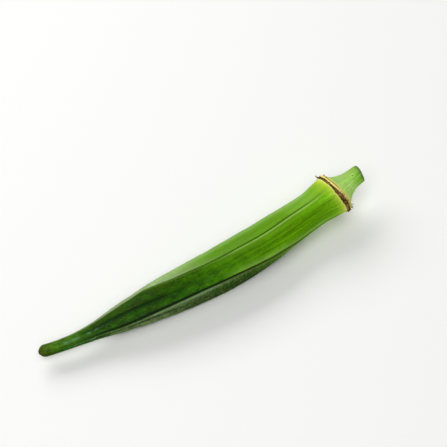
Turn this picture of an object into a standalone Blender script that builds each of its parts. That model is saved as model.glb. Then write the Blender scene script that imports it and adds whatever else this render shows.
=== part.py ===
"""An okra pod, picked and lying on a surface.

The pod grew as one piece, so it is one closed solid: the tapering capsule with its five ridges, the
ring where the flower's calyx came away, the cap above the ring, and the short cut stalk.
X runs from the blossom tip to the stalk, -Y is the side that the pod bows towards, and +Z is up.
The origin is at the bottom centre of the pod's box.
"""

import math

import bmesh
import bpy
from mathutils import Vector

MM = 0.001
NAME = "okra_pod"

# Every table below gives (distance from the tip along X, value), in millimetres or degrees.
# A smooth curve through the rows gives the value in between.

# From the axis of the pod out to its ridges.
RIDGE_RADIUS = [
    (0.0, 2.62),  # the blunt blossom tip
    (6.0, 2.66),
    (12.0, 2.8),
    (22.5, 3.7),
    (34.5, 6.05),
    (46.0, 7.95),
    (60.5, 9.15),
    (75.0, 9.8),
    (91.0, 10.2),  # the widest part of the capsule
    (105.5, 9.7),
    (118.5, 8.45),
    (128.0, 8.0),  # the waist before the ring
    (134.5, 8.65),
    (137.5, 9.05),
    (138.3, 9.4),  # the lip on the pod's side of the ring
    (139.1, 9.05),  # the groove between the lips
    (139.8, 9.35),  # the lip on the cap's side
    (140.6, 9.1),
    (141.6, 7.8),  # the cap, which draws in to the stalk
    (143.2, 6.3),
    (145.8, 4.85),
    (148.2, 4.15),
    (152.3, 3.7),  # the stalk
    (153.0, 2.9),  # the edge of the cut
]
# The tip is half an ellipse, this long.
TIP_ROUNDING = 2.6

# Where the axis runs: its bow towards -Y, and its height above the surface.
BOW = [
    (0.0, 0.0),
    (5.0, 1.2),
    (12.0, 2.45),
    (22.5, 3.6),
    (46.0, 4.8),
    (66.0, 5.95),
    (80.0, 6.45),
    (98.0, 5.85),
    (118.0, 3.7),
    (140.0, 1.8),
    (153.0, 0.0),
]
AXIS_HEIGHT = [
    (0.0, 6.5),
    (16.0, 6.95),
    (46.0, 8.3),
    (78.0, 8.42),
    (98.0, 8.35),
    (118.0, 10.4),
    (135.0, 12.95),
    (153.0, 17.2),
]

# Which way the upper front face looks, in degrees up from -Y. The ridges wind slowly round the pod.
FACE_TURN = [
    (0.0, 88.0),
    (34.0, 80.0),
    (46.0, 76.0),
    (60.0, 69.5),
    (80.0, 66.0),
    (95.0, 61.5),
    (107.0, 56.0),
    (119.0, 46.5),
    (153.0, 39.0),
]
# How much of the turn round the section that face takes. The four others share the rest.
FACE_SPREAD = [
    (0.0, 106.0),
    (34.0, 104.0),
    (46.0, 88.0),
    (60.0, 67.0),
    (80.0, 57.0),
    (95.0, 61.0),
    (107.0, 69.0),
    (119.0, 87.0),
    (153.0, 98.0),
]
# How far each of the other ridges stands from an even share, in degrees: back, lower back, lower front.
UNEVENNESS = (-4.0, -5.0, -14.0)

# How far the middle of a face lies inside the ridge radius, as a share of it.
FACE_DIP = [
    (0.0, 0.03),
    (10.0, 0.08),
    (23.0, 0.28),
    (42.0, 0.32),
    (76.0, 0.24),
    (102.0, 0.18),
    (128.0, 0.10),
    (138.0, 0.03),
    (153.0, 0.05),
]
# How softly a ridge is rounded over, as a share of half a face.
CREST_ROUNDING = 0.12
# Half the angle between the ridges of an even section: it sets how deep a flat face lies.
FLAT_FACE_ANGLE = math.radians(36.0)

# The ring and the cut stalk aren't square to the axis: a shift along X for each millimetre towards -Y.
OBLIQUE = [
    (118.0, 0.0),
    (134.0, 0.08),
    (142.0, 0.08),
    (148.0, 0.0),
    (153.0, -0.12),
]

# The ridges that it lies on are pressed flat by this much.
PRESSED_FLAT = 0.25

RIDGES = 5
# Where the columns of points stand in each face, as shares of its width: close together at the ridges.
COLUMNS = (0.0, 0.07, 0.18, 0.33, 0.5, 0.67, 0.82, 0.93)
# Where the rings of points are: by angle round the tip, evenly along the body, then one by one.
TIP_ANGLES = (8.0, 25.0, 45.0, 65.0, 90.0)
BODY_STEP = 3.0
BODY_END = 134.0
RING_AND_STALK = (136.0, 137.5, 138.3, 139.1, 139.8, 140.6, 141.6, 143.2, 145.8, 148.2, 150.5, 152.3, 153.0)

AXIS_PROBE = 0.5
SHARP_EDGE = math.radians(50.0)
SKIN_GREEN = (0.095, 0.27, 0.022, 1.0)
SKIN_ROUGHNESS = 0.42


def along(table, x):
    """The value at x on a smooth curve through the table's rows, which never passes beyond them."""
    steps = [(b[1] - a[1]) / (b[0] - a[0]) for a, b in zip(table, table[1:])]
    inner = [2 * p * q / (p + q) if p * q > 0 else 0.0 for p, q in zip(steps, steps[1:])]
    slopes = [steps[0], *inner, steps[-1]]
    x = min(max(x, table[0][0]), table[-1][0])
    row = max(i for i in range(len(steps)) if table[i][0] <= x)
    (x0, y0), (x1, y1) = table[row], table[row + 1]
    width = x1 - x0
    t = (x - x0) / width
    rise = y1 - y0
    curve = slopes[row] * width * (1 - t) - slopes[row + 1] * width * t
    return y0 + rise * t * t * (3 - 2 * t) + curve * t * (1 - t)


def axis_point(x):
    return Vector((x, -along(BOW, x), along(AXIS_HEIGHT, x)))


def section_frame(x):
    """The axis direction at x, the horizontal direction across it towards -Y, and the one across both."""
    forward = (axis_point(x + AXIS_PROBE) - axis_point(x - AXIS_PROBE)).normalized()
    side = forward.cross(Vector((0, 0, 1))).normalized()
    return forward, side, side.cross(forward)


def ridge_angles(x):
    """The directions of the ridges at x, in degrees up from -Y, and the first one again."""
    turn = along(FACE_TURN, x)
    spread = along(FACE_SPREAD, x)
    share = (360 - spread) / (RIDGES - 1)
    upper = turn + spread / 2
    others = [upper + share * (i + 1) + uneven for i, uneven in enumerate(UNEVENNESS)]
    return [upper, *others, turn - spread / 2 + 360, upper + 360]


def face_shape(share):
    """0 on a ridge and 1 in the middle of a face, as a flat face with rounded ridges has it."""
    reach = 1 - abs(2 * share - 1)
    rounded = math.hypot(reach, CREST_ROUNDING) - CREST_ROUNDING
    rounded /= math.hypot(1, CREST_ROUNDING) - CREST_ROUNDING
    flat = math.cos(FLAT_FACE_ANGLE) / math.cos(FLAT_FACE_ANGLE * (1 - rounded))
    return (1 - flat) / (1 - math.cos(FLAT_FACE_ANGLE))


def surface_point(x, face, share):
    """The point of the skin at x, this share of the way across the face from its first ridge."""
    angles = ridge_angles(x)
    angle = math.radians(angles[face] + (angles[face + 1] - angles[face]) * share)
    radius = along(RIDGE_RADIUS, x) * (1 - along(FACE_DIP, x) * face_shape(share))
    if x < TIP_ROUNDING:
        radius *= math.sqrt(1 - (1 - x / TIP_ROUNDING) ** 2)
    forward, side, over = section_frame(x)
    out = side * math.cos(angle) + over * math.sin(angle)
    lean = along(OBLIQUE, x) * radius * math.cos(angle)
    return axis_point(x) + out * radius + forward * lean


def ring_stations():
    """Where the rings of points are, from the tip to the cut end."""
    tip = [TIP_ROUNDING * (1 - math.cos(math.radians(a))) for a in TIP_ANGLES]
    count = round((BODY_END - TIP_ROUNDING) / BODY_STEP)
    body = [TIP_ROUNDING + (BODY_END - TIP_ROUNDING) * (i + 1) / count for i in range(count)]
    return [*tip, *body, *RING_AND_STALK]


def ringed_cylinder(stations, columns):
    """A closed cylinder along Z with one ring of points for each station, and its rings in order."""
    mesh = bmesh.new()
    height = len(stations) - 1
    bmesh.ops.create_cone(mesh, cap_ends=True, segments=columns, radius1=1, radius2=1, depth=height)
    sides = [e for e in mesh.edges if e.calc_length() > height - MM]
    bmesh.ops.subdivide_edges(mesh, edges=sides, cuts=height - 1, use_grid_fill=True)
    rings = [[None] * columns for _ in stations]
    for vertex in mesh.verts:
        turn = math.atan2(-vertex.co.y, vertex.co.x) / math.tau
        rings[round(vertex.co.z + height / 2)][round(turn * columns) % columns] = vertex
    return mesh, rings


def lay_down(mesh):
    """Moves the pod to its origin, with its lowest ridges pressed flat on the surface."""
    low = [min(v.co[i] for v in mesh.verts) for i in range(3)]
    high = [max(v.co[i] for v in mesh.verts) for i in range(3)]
    move = Vector((-(low[0] + high[0]) / 2, -(low[1] + high[1]) / 2, -low[2] - PRESSED_FLAT))
    for vertex in mesh.verts:
        vertex.co += move
        vertex.co.z = max(vertex.co.z, 0)
        vertex.co *= MM


def skin_material():
    """Fresh okra skin: mid green, waxy, with a soft shine."""
    material = bpy.data.materials.new("okra_skin")
    material.use_nodes = True
    shader = material.node_tree.nodes["Principled BSDF"]
    shader.inputs["Base Color"].default_value = SKIN_GREEN
    shader.inputs["Roughness"].default_value = SKIN_ROUGHNESS
    shader.inputs["Metallic"].default_value = 0.0
    material.diffuse_color = SKIN_GREEN
    return material


def make_pod(collection):
    """The pod as one mesh: a cylinder whose rings are moved on to the pod's sections."""
    stations = ring_stations()
    mesh, rings = ringed_cylinder(stations, RIDGES * len(COLUMNS))
    for x, ring in zip(stations, rings):
        for index, vertex in enumerate(ring):
            face, column = divmod(index, len(COLUMNS))
            vertex.co = surface_point(x, face, COLUMNS[column])
    lay_down(mesh)
    bmesh.ops.recalc_face_normals(mesh, faces=mesh.faces)
    data = bpy.data.meshes.new(NAME)
    mesh.to_mesh(data)
    mesh.free()
    data.shade_smooth()
    data.set_sharp_from_angle(angle=SHARP_EDGE)
    data.materials.append(skin_material())
    pod = bpy.data.objects.new(NAME, data)
    collection.objects.link(pod)
    return pod


def main():
    for obj in list(bpy.data.objects):
        bpy.data.objects.remove(obj)
    collection = bpy.data.collections.new("okra")
    bpy.context.scene.collection.children.link(collection)
    make_pod(collection)


main()
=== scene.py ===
# %% [markdown]
# # An okra pod on a pale table
# This lesson dresses a fresh okra pod: the fruit of a plant of the mallow family, picked young.
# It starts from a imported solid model, which holds the pod's true size and place. That solid is plain,
# so this script makes the skin again with far more points, and adds the small dry and soft things that
# a solid model leaves out. Everything is in metres, in the solid's own frame.

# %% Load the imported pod
import math
import random

import bmesh
import bpy
import numpy as np
from mathutils import Matrix, Vector, noise


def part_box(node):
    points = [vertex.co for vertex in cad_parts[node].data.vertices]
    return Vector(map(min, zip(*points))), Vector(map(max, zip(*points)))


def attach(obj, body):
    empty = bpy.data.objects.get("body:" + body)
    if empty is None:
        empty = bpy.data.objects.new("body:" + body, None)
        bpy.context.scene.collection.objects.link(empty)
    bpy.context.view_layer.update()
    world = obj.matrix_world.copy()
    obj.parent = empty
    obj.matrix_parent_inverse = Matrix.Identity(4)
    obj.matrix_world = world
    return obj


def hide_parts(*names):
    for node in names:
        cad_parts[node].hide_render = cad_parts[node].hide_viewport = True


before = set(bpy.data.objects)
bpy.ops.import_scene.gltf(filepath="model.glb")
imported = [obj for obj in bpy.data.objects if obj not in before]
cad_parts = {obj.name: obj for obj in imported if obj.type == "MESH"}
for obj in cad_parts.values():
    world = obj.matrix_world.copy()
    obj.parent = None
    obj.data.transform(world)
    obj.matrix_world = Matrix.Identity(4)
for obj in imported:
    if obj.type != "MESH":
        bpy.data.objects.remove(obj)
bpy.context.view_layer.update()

MM = 0.001
NODE = "okra_pod"

# %% [markdown]
# ## The camera
# The pod is seen from well above, as a cook sees it on a worktop. A long lens from 60 cm away keeps the
# far end nearly as large as the near end. An empty could be tracked instead, but two angles and a
# distance say just as much, and nothing is left over in the scene.

# %% Camera
CAMERA_AZIMUTH = math.radians(-30.8)
CAMERA_ELEVATION = math.radians(60.3)
CAMERA_DISTANCE = 600 * MM
CAMERA_AIM = Vector((16.76, 15.96, 9)) * MM
LENS = 114.9


def show(name, data):
    """Makes an object of this data and puts it in the scene."""
    made = bpy.data.objects.new(name, data)
    bpy.context.scene.collection.objects.link(made)
    return made


def add_camera():
    """A camera that looks at CAMERA_AIM. Azimuth 0 looks along +Y."""
    data = bpy.data.cameras.new("camera")
    data.lens = LENS
    data.sensor_width = 36
    camera = show("camera", data)
    tilt = Matrix.Rotation(math.pi / 2 - CAMERA_ELEVATION, 4, "X")
    turn = Matrix.Rotation(CAMERA_AZIMUTH, 4, "Z") @ tilt
    back = Matrix.Translation((0, 0, CAMERA_DISTANCE))
    camera.matrix_world = Matrix.Translation(CAMERA_AIM) @ turn @ back
    bpy.context.scene.camera = camera
    return camera


camera = add_camera()
print("camera at", [round(v, 3) for v in camera.matrix_world.translation])

# %% [markdown]
# ## The pod's form
# A pod has five faces that meet in five ridges, and the ridges wind slowly round it. One way to model
# that is to push a cylinder about by hand. Here a few short tables say how the form changes along the
# pod, as a boatbuilder's table of offsets does for a hull, because the same numbers then place the
# skin, the hairs and the dry ring. Each row is (millimetres from the blossom tip, value).

# %% Tables of the form
# How far the ridges stand from the axis.
RIDGE_RADIUS = [
    (0, 2.62), (6, 2.66), (12, 2.8), (22.5, 3.7), (34.5, 6.05), (46, 7.95), (60.5, 9.15), (75, 9.8),
    (91, 10.2), (105.5, 9.7), (118.5, 8.45), (128, 8), (134.5, 8.65), (137.5, 9.05), (138.3, 9.4),
    (139.1, 9.3), (139.8, 9.35), (140.6, 9.1), (141.6, 7.8), (143.2, 6.3), (145.8, 4.85), (148.2, 4.15),
    (152.3, 3.7), (152.8, 3.6), (153, 3.3),
]
# How far the axis bows towards -Y, and how high it lies.
BOW = [
    (0, 0), (5, 1.2), (12, 2.45), (22.5, 3.6), (46, 4.8), (66, 5.95), (80, 6.45), (98, 5.85), (118, 3.7),
    (140, 1.8), (153, 0.3),
]
AXIS_HEIGHT = [
    (0, 6.5), (16, 6.95), (46, 8.3), (78, 8.42), (98, 8.35), (118, 10.4), (135, 12.95), (153, 17.2),
]
# The direction in which the middle of the front face looks, in degrees up from -Y, and how far apart
# its two ridges are, in degrees.
FACE_TURN = [
    (0, 88), (34, 80), (46, 76), (60, 69.5), (80, 66), (95, 61.5), (107, 56), (119, 46.5), (153, 39),
]
FACE_SPREAD = [
    (0, 106), (34, 104), (46, 88), (60, 67), (80, 57), (95, 61), (107, 69), (119, 87), (153, 98),
]
# How far the middles of the faces dip, as a share of the radius.
FACE_DIP = [
    (0, 0.03), (10, 0.08), (23, 0.28), (42, 0.32), (76, 0.24), (102, 0.18), (128, 0.10), (138, 0.03),
    (153, 0.05),
]
# How much the rings lean towards the stalk at the front.
OBLIQUE = [(118, 0), (134, 0.08), (142, 0.08), (148, 0), (153, -0.12)]
# How far the other three ridges are from standing evenly, in degrees.
UNEVENNESS = (-4, -5, -14)
LENGTH = RIDGE_RADIUS[-1][0]
TIP_ROUNDING = 2.6
CREST_ROUNDING = 0.12
FLAT_FACE_ANGLE = math.radians(36)
RIDGES = 5
# The axis direction is measured between points this far before and past its place, in mm.
AXIS_PROBE = 0.5


def along(table, x):
    """The value at x on a smooth curve through the table's rows, which never passes beyond them."""
    steps = [(b[1] - a[1]) / (b[0] - a[0]) for a, b in zip(table, table[1:])]
    inner = [2 * p * q / (p + q) if p * q > 0 else 0.0 for p, q in zip(steps, steps[1:])]
    slopes = [steps[0], *inner, steps[-1]]
    x = min(max(x, table[0][0]), table[-1][0])
    row = max(i for i in range(len(steps)) if table[i][0] <= x)
    (x0, y0), (x1, y1) = table[row], table[row + 1]
    width = x1 - x0
    t = (x - x0) / width
    curve = slopes[row] * width * (1 - t) - slopes[row + 1] * width * t
    return y0 + (y1 - y0) * t * t * (3 - 2 * t) + curve * t * (1 - t)


def axis_point(x):
    return Vector((x, -along(BOW, x), along(AXIS_HEIGHT, x)))


def section_frame(x):
    """The axis direction at x, the horizontal direction across it towards -Y, and the one across both."""
    forward = (axis_point(x + AXIS_PROBE) - axis_point(x - AXIS_PROBE)).normalized()
    side = forward.cross(Vector((0, 0, 1))).normalized()
    return forward, side, side.cross(forward)


def ridge_angles(x):
    """The directions of the ridges at x, in degrees up from -Y, and the first one again."""
    turn = along(FACE_TURN, x)
    spread = along(FACE_SPREAD, x)
    share = (360 - spread) / (RIDGES - 1)
    upper = turn + spread / 2
    others = [upper + share * (i + 1) + uneven for i, uneven in enumerate(UNEVENNESS)]
    return [upper, *others, turn - spread / 2 + 360, upper + 360]


for x in (20, 90, 139):
    print(f"{x} mm from the tip, the ridges stand {along(RIDGE_RADIUS, x):.1f} mm from the axis")


# %% [markdown]
# ## Points round the pod
# The fine skin needs about a third of a millimetre between points across the pod, where its seams and
# veins are narrow, and more along it, where they run straight. So the columns crowd together at the
# ridges, and the rings crowd together at the dry ring and at both ends.

# %% Columns and rings
COLUMNS_PER_FACE = 48
COLUMNS = RIDGES * COLUMNS_PER_FACE
CROWDING = 0.5
# The angles of the rings on the rounded tip, in degrees, as on a globe seen from its pole.
TIP_ANGLES = (3, 8, 14, 21, 29, 38, 48, 58, 68, 79)
# Along the pod, the dry ring and the cap: from where to where the rings go, and the step between them.
RING_RANGES = ((TIP_ROUNDING, 135.6, 0.6), (135.9, 142.2, 0.13), (142.4, 152.3, 0.25))
CUT_EDGE = [152.4, 152.55, 152.7, 152.82, 152.92, 152.98, 153]


def column_places():
    """For each column: the face that it is on, and its share of the way across that face."""
    steps = np.arange(COLUMNS_PER_FACE) / COLUMNS_PER_FACE
    shares = steps - CROWDING * np.sin(math.tau * steps) / math.tau
    return np.repeat(np.arange(RIDGES), COLUMNS_PER_FACE), np.tile(shares, RIDGES)


def ring_stations():
    """Where the rings of the skin are, in millimetres from the tip."""
    tip = [TIP_ROUNDING * (1 - math.cos(math.radians(a))) for a in TIP_ANGLES]
    return np.concatenate([tip, *(np.arange(*limits) for limits in RING_RANGES), CUT_EDGE])


FACE_OF, SHARE_OF = column_places()
STATIONS = ring_stations()
print(len(STATIONS), "rings of", COLUMNS, "points")


def face_shape(share):
    """0 on a ridge and 1 in the middle of a face, as a flat face with rounded ridges has it."""
    reach = 1 - np.abs(2 * share - 1)
    rounded = np.hypot(reach, CREST_ROUNDING) - CREST_ROUNDING
    rounded /= math.hypot(1, CREST_ROUNDING) - CREST_ROUNDING
    flat = math.cos(FLAT_FACE_ANGLE) / np.cos(FLAT_FACE_ANGLE * (1 - rounded))
    return (1 - flat) / (1 - math.cos(FLAT_FACE_ANGLE))


def bell(distance, width):
    return np.exp(-((distance / width) ** 2))


def smooth_step(low, high, value):
    t = np.clip((value - low) / (high - low), 0, 1)
    return t * t * (3 - 2 * t)


def noise_at(*axes):
    """Smooth noise, between about -1 and 1, at each point that has these x, y and z."""
    return np.array([noise.noise(Vector(point)) for point in np.broadcast(*axes)])


def upward(angle):
    """Angles in radians as degrees up from -Y, between -180 and 180."""
    return (np.degrees(angle) + 180) % 360 - 180


# The knife left a small corner on the cut: how far up from -Y it is and how far round it reaches, where
# along the pod it starts, and how far it stands out and on.
CUT_CORNER, CORNER_REACH, CORNER_START = -22, 32, 147.5
CORNER_OUT, CORNER_ON = 0.35, 0.35


def ring_of_points(x, faces, shares, raised):
    """The points of one ring, in millimetres: the form at x, raised by so much along each radius."""
    angles = np.array(ridge_angles(x))
    angle = np.radians(angles[faces] + (angles[faces + 1] - angles[faces]) * shares)
    radius = along(RIDGE_RADIUS, x) * (1 - along(FACE_DIP, x) * face_shape(shares))
    if x < TIP_ROUNDING:
        radius = radius * math.sqrt(1 - (1 - x / TIP_ROUNDING) ** 2)
    corner = bell(upward(angle) - CUT_CORNER, CORNER_REACH) * smooth_step(CORNER_START, LENGTH, x)
    radius = radius + raised + CORNER_OUT * corner
    forward, side, over = (np.array(v) for v in section_frame(x))
    lean = along(OBLIQUE, x) * radius * np.cos(angle) + CORNER_ON * corner
    out = np.outer(np.cos(angle), side) + np.outer(np.sin(angle), over)
    return np.array(axis_point(x)) + out * radius[:, None] + np.outer(lean, forward)


# %% [markdown]
# ## What stands proud of the form, and what lies below it
# Close up, a pod isn't smooth. Beside each ridge runs a fine dark seam, with a raised welt next to it,
# painted pale as a highlight.
# Veins fan out from the dry ring and fade towards the tip, and in the narrow half each face is folded
# along its middle. These are real relief, so they are moved points, not only bump in the material.
# The same measures are kept as attributes, so that the colours follow the relief exactly.

# %% Seams, welts and notches
# The ridges that look different, by number: the top one, the one at the back and the lower front one.
TOP_RIDGE, BACK_RIDGE, LOW_RIDGE = 0, 1, 4
# A face has the number of the ridge before it.
BACK_FACE, LOW_BACK_FACE, UNDER_FACE, BELLY_FACE, FRONT_FACE = range(RIDGES)
SEAM_DEPTH = 0.24
# How far past its ridge each seam runs, and how wide it is.
SEAM_PLACES = [
    [(0, 0.1), (60, 0.12), (80, 0.25), (95, 0.38), (153, 0.4)],
    *[[(0, 0.4), (153, 0.4)]] * 3,
    [(0, 0.4), (22, 0.62), (60, 0.55), (80, 0.3), (153, 0.35)],
]
SEAM_WIDTHS = [
    [(0, 0.2), (52, 0.2), (66, 0.31), (120, 0.31), (153, 0.2)],
    *[[(0, 0.2), (153, 0.2)]] * 3,
    [(0, 0.2), (20, 0.42), (60, 0.44), (80, 0.36), (105, 0.26), (153, 0.2)],
]
SEAM_STRENGTH = [(0, 0), (8, 0.1), (24, 0.8), (50, 1), (118, 0.85), (133, 0.35), (137, 0)]
# The seam on the top ridge starts later, and the one on the lower front ridge is deeper.
TOP_SEAM = [(0, 0), (44, 0), (60, 1), (153, 1)]
LOW_SEAM = [(0, 1), (28, 1), (38, 1.25), (66, 1.3), (84, 1.2), (110, 1), (153, 1)]
WELT_PLACE, WELT_WIDTH, WELT_HEIGHT = -0.4, 0.34, 0.12
# How notched and hairy the crest of each ridge is.
NOTCHES_OF_RIDGE = np.array([1, 1, 1, 2.2, 0.45])
NOTCH_HEIGHT = 0.09
CREST_WIDTH = 0.55
print("seams:", SEAM_DEPTH, "mm deep, welts:", WELT_HEIGHT, "mm high")

# %% Veins
VEIN_HEIGHT = 0.05
VEIN_WIDTH = 0.2
VEINS_PER_FACE = 7
VEIN_WANDER = 0.018
dice = random.Random(5)


def choose_veins():
    """For each face, its veins: (share across the face, where it fades out towards the tip, strength)."""
    veins = []
    for _ in range(RIDGES):
        places = [i + 1 + dice.uniform(-0.33, 0.33) for i in range(VEINS_PER_FACE)]
        shares = [place / (VEINS_PER_FACE + 1) for place in places]
        veins.append([(share, dice.uniform(78, 122), dice.uniform(0.3, 1)) for share in shares])
    return veins


VEINS = choose_veins()


def wander(x, seed, wavelength):
    """A smooth number between about -1 and 1 that changes along the pod, for one seed or for several."""
    return noise_at(x / wavelength, seed * 7.31, 3.7)


def vein_relief(x, width):
    """How much of a vein there is at each column of the ring at x, from 0 to 1."""
    relief = np.zeros(COLUMNS)
    for face in range(RIDGES):
        here = FACE_OF == face
        for number, (share, fades_at, strength) in enumerate(VEINS[face]):
            fade = float(smooth_step(fades_at - 14, fades_at + 16, x) * smooth_step(138.3, 136.6, x))
            place = share + VEIN_WANDER * wander(x, face * 10 + number, 16)
            distance = (SHARE_OF[here] - place) * width[here]
            patchy = 0.6 + 0.6 * wander(x, face * 10 + number + 50, 7)
            relief[here] += strength * fade * patchy * bell(distance, VEIN_WIDTH)
    return np.clip(relief, 0, 1)


print("veins on each face:", len(VEINS[0]))

# %% [markdown]
# ## Folds, down and shade
# The other marks belong to one place each. The folds are relief again, and painted darker in and beside
# their creases as shade. The down, a felt of hairs too fine to model, the painted highlight beside the
# folds, the olive side that looks up, the painted shade on the belly and the pale lines along the ridges,
# which are partly painted highlight and sheen, are colour alone. A texture painted by hand could hold
# them, but it would have to be kept as an image. Here each mark is a width, a place and a strength that
# changes along the pod.

# %% Where the marks are
FOLD_DEPTH = 0.62
FOLD_WIDTH = 0.75
CREASE_WANDER = 0.025
# Where the fold runs, as a share of the way across its face.
CREASE = [(0, 0.55), (25, 0.555), (50, 0.47), (80, 0.45)]
FOLD_STRENGTH = [(0, 0), (15, 0.05), (26, 0.9), (48, 1), (62, 0.35), (76, 0)]
# The fold is shallow on the back.
BACK_FOLD = 0.08
# A painted highlight, in patches, on the lower side of the front face's fold in the narrow half.
FLANK_HIGHLIGHT_STRENGTH = [(0, 0), (7, 0.4), (11, 1), (22, 1), (27, 0.25), (34, 0.06), (60, 0)]
OLIVE_STRENGTH = [(0, 0.2), (12, 0.6), (24, 1), (56, 1), (72, 0)]
DOWN_STRENGTH = [(0, 0.2), (10, 0.45), (24, 0.5), (34, 1), (48, 1), (62, 0), (153, 0)]
# How far the down reaches from its ridge, on the side before it, in mm.
DOWN_REACH = [(0, 1.3), (40, 1.3), (50, 0.35), (153, 0.35)]
# Below the lower front ridge the down is a wider, thinner fringe.
FRINGE_STRENGTH = [(0, 0), (38, 0), (50, 0.7), (56, 1), (70, 1), (80, 0.5), (92, 0.2), (120, 0)]
# Painted shade: the belly is darkest towards the ridge that it lies on.
SHADE_STRENGTH = [(0, 0), (50, 0), (66, 0.8), (80, 1), (104, 1), (120, 0)]
# The shoulder below the top ridge catches the light along its wide part.
BROW_STRENGTH = [(0, 0), (56, 0), (68, 0.22), (80, 0.6), (92, 1), (108, 1), (126, 0.2), (134, 0)]
# Pale lines beside the top ridge and above the lower front ridge: painted highlight on the crests.
KEEL_HIGHLIGHT_STRENGTH = [(0, 0), (76, 0), (90, 0.8), (125, 1), (134, 0.2), (137, 0)]
# A pale band before the back ridge: partly down, partly a painted sheen.
BACK_RIDGE_SHEEN_STRENGTH = [(0, 0), (50, 0), (64, 1), (124, 1), (136, 0)]
RUST_STRENGTH = [(0, 0), (70, 0), (82, 1), (104, 1), (116, 0), (153, 0)]
# Lines of colour beside the ridges: the ridge, how far past it, the width, and the share of the strength.
LINES = [
    ("brow", TOP_RIDGE, -1.5, 1.2, 1, BROW_STRENGTH),
    ("rim", BACK_RIDGE, -1.2, 1.6, 1, BACK_RIDGE_SHEEN_STRENGTH),
    ("rust", LOW_RIDGE, -0.2, 0.3, 1, RUST_STRENGTH),
    ("keel_highlight", TOP_RIDGE, -0.5, 0.3, 1, KEEL_HIGHLIGHT_STRENGTH),
    ("keel_highlight", LOW_RIDGE, 1.2, 0.9, 0.45, KEEL_HIGHLIGHT_STRENGTH),
]
print("lines beside the ridges:", len(LINES))

# %% The measures of one ring
# Where the ridges stand less than this far from the axis, in mm, the seams draw closer with them.
SMALL_RADIUS = 6.0


def beside_ridges(x):
    """At each column of the ring at x: its face's width, the nearest ridge, and how far past it, in mm."""
    angles = np.radians(ridge_angles(x))
    width = (angles[FACE_OF + 1] - angles[FACE_OF]) * along(RIDGE_RADIUS, x)
    after, before = SHARE_OF * width, (1 - SHARE_OF) * width
    nearest = np.where(after < before, FACE_OF, (FACE_OF + 1) % RIDGES)
    return width, nearest, np.where(after < before, after, -before)


def ring_measures(x):
    """What there is of each kind of relief and colour at each column of the ring at x, from 0 to 1."""
    width, nearest, past_ridge = beside_ridges(x)
    small = min(along(RIDGE_RADIUS, x) / SMALL_RADIUS, 1)
    strength = along(SEAM_STRENGTH, x)
    seam_place, seam_width = (
        np.array([along(rows, x) for rows in tables])[nearest] for tables in (SEAM_PLACES, SEAM_WIDTHS)
    )
    seam = bell(past_ridge - seam_place * small, seam_width) * strength
    seam[nearest == TOP_RIDGE] *= along(TOP_SEAM, x)
    seam[nearest == LOW_RIDGE] *= along(LOW_SEAM, x)
    crease = along(CREASE, x) + CREASE_WANDER * wander(x, 90 + np.arange(RIDGES), 22)
    from_crease = (SHARE_OF - crease[FACE_OF]) * width
    folded = along(FOLD_STRENGTH, x) * np.where(FACE_OF == BACK_FACE, BACK_FOLD, 1)
    patchy = np.clip(0.55 + 2.4 * wander(x, 70, 1.7), 0.1, 1)
    reach = along(DOWN_REACH, x)
    down = smooth_step(-reach, 0.4 - reach, past_ridge / small) * smooth_step(0.5, 0, past_ridge / small)
    fringe = smooth_step(-2.3, -1, past_ridge) * smooth_step(0.35, -0.15, past_ridge)
    in_front = FACE_OF == FRONT_FACE
    looks_up = 0.25 + 0.75 * smooth_step(0.3, 1.8, from_crease)
    found = {
        "seam": seam,
        "welt": bell(past_ridge - WELT_PLACE * small, WELT_WIDTH) * strength,
        "crest": bell(past_ridge, CREST_WIDTH) * NOTCHES_OF_RIDGE[nearest],
        "vein": vein_relief(x, width),
        # The fold also paints the colour darker in its crease, and the hollow beside it: painted shade.
        "fold": np.exp(-np.abs(from_crease) / FOLD_WIDTH) * folded,
        "hollow": bell(from_crease + 0.6, 1.5) * folded,
        "flank_highlight": bell(from_crease + 0.95, 0.55) * patchy * along(FLANK_HIGHLIGHT_STRENGTH, x) * in_front,
        "olive": looks_up * along(OLIVE_STRENGTH, x) * in_front,
        "down": down * along(DOWN_STRENGTH, x) * (nearest != LOW_RIDGE),
        "fringe": fringe * along(FRINGE_STRENGTH, x) * (nearest == LOW_RIDGE),
        "shade": smooth_step(0.85, 0.4, SHARE_OF) * along(SHADE_STRENGTH, x) * (FACE_OF == BELLY_FACE),
    }
    for name, ridge, place, line_width, share, rows in LINES:
        line = bell(past_ridge - place, line_width) * share * along(rows, x) * (nearest == ridge)
        found[name] = found.get(name, 0) + line
    return found


print("measures of each ring:", len(ring_measures(90)))

# %% [markdown]
# ## The dry ring
# Where the flower's calyx fell away, the skin has split all the way round and dried. The split is a
# hair's breadth on top and widens towards the front, and on top a second, thinner crack runs beside it.
# Its edges are ragged, so their places come from smooth noise round the ring. It is cut into the skin
# here, and filled with dry tissue later on.

# %% The split in the ring
SPLIT_MIDDLE = 139.1
SPLIT_DEPTH = 0.75
SPLIT_EDGE = 0.12
# Half the width of the split, by the angle round the pod in degrees up from -Y.
SPLIT_HALF_WIDTH = [
    (-180, 0.33), (-60, 0.45), (-20, 0.5), (15, 0.52), (40, 0.78), (62, 0.55), (95, 0.36), (150, 0.36),
    (180, 0.33),
]
CRACK_OFFSET = 1.72
CRACK_WIDTH = 0.2
CRACK_DEPTH = 0.24
# How strong the second crack is, by the same angle.
CRACK_STRENGTH = [(-180, 0.5), (-120, 0), (60, 0), (88, 1), (150, 0.9), (180, 0.5)]


def ring_noise(angle, lumps, seed):
    """Smooth noise round the ring, with about so many lumps to the turn."""
    reach = lumps / math.tau
    return noise_at(reach * np.cos(angle), reach * np.sin(angle), seed)


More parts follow.
